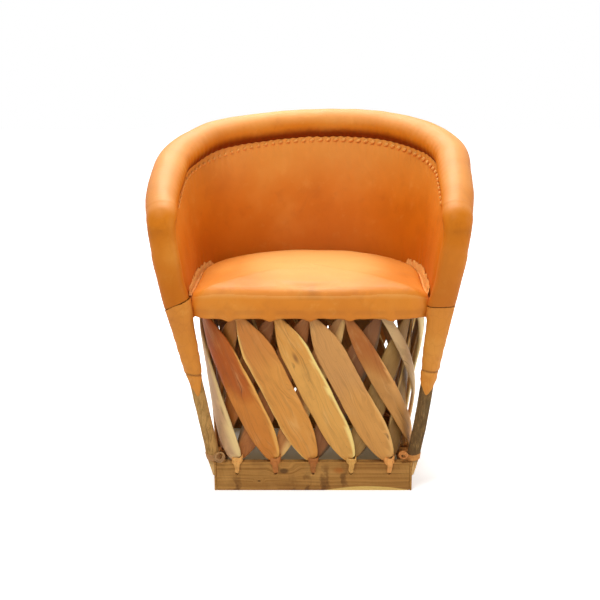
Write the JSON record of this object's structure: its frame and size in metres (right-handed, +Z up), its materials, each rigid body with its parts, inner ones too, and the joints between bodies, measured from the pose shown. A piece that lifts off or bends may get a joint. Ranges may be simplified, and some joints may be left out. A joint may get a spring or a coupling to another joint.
{
  "type": "equipal barrel chair",
  "caption": "Low barrel chair with a leather tub back under a padded roll, a leather seat on a hoop, and a drum of crossed split-wood slats tied to a square board base.",
  "frame": {"origin": "middle of the chair's bounding box on the floor plane under the base boards", "axes": "+Z up from the floor, -Y towards the front of the seat, +X to the right as the front is looked at along +Y"},
  "size_m": [0.6568, 0.5396, 0.7313],
  "materials": {
    "hide_leather": "smooth vegetable-tanned leather with a soft sheen and uneven orange tone",
    "roll_leather": "stretched vegetable-tanned leather over padding, brighter on top and darkened by hand wear",
    "heartwood": "split, shaved and unvarnished slats with long grain and knots",
    "palewood": "paler split slats with bare sapwood and strips of bark on the edges",
    "board_wood": "rough-sawn boards with knots, dark stains and a wedge of sapwood",
    "bark_wood": "round poles left in their grey-brown bark, pared pale at the foot",
    "rawhide": "hand-cut thongs and stretched hide, dry and slightly glossy",
    "reed_core": "bundled reeds, hidden inside the padded roll"
  },
  "bodies": {
    "root": {"front_board": "board_wood", "rear_board": "board_wood", "right_side_board": "board_wood", "left_side_board": "board_wood", "outer_slat_01": "heartwood", "inner_slat_01": "palewood", "outer_slat_02": "heartwood", "inner_slat_02": "palewood", "outer_slat_03": "heartwood", "inner_slat_03": "palewood", "outer_slat_04": "heartwood", "inner_slat_04": "palewood", "outer_slat_05": "heartwood", "inner_slat_05": "palewood", "outer_slat_06": "heartwood", "inner_slat_06": "palewood", "outer_slat_07": "heartwood", "inner_slat_07": "palewood", "outer_slat_08": "heartwood", "inner_slat_08": "palewood", "outer_slat_09": "heartwood", "inner_slat_09": "palewood", "outer_slat_10": "heartwood", "inner_slat_10": "palewood", "outer_slat_11": "heartwood", "inner_slat_11": "palewood", "outer_slat_12": "heartwood", "inner_slat_12": "palewood", "outer_slat_13": "heartwood", "inner_slat_13": "palewood", "outer_slat_14": "heartwood", "inner_slat_14": "palewood", "outer_slat_15": "heartwood", "inner_slat_15": "palewood", "outer_slat_16": "heartwood", "inner_slat_16": "palewood", "outer_slat_17": "heartwood", "inner_slat_17": "palewood", "outer_slat_18": "heartwood", "inner_slat_18": "palewood", "right_arm_pole": "bark_wood", "left_arm_pole": "bark_wood", "right_back_pole": "bark_wood", "left_back_pole": "bark_wood", "seat_hoop": "bark_wood", "rail_core": "reed_core", "padded_roll": "roll_leather", "seat_apron": "hide_leather", "seat_pad": "hide_leather", "inner_back_hide": "hide_leather", "outer_back_hide": "hide_leather", "right_arm_cover": "hide_leather", "left_arm_cover": "hide_leather", "right_leg_sleeve": "hide_leather", "left_leg_sleeve": "hide_leather", "seat_webbing": "rawhide", "lower_lacing": "rawhide", "upper_lacing": "rawhide", "rail_lacing": "rawhide", "seat_lacing": "rawhide"}
  },
  "joints": []
}
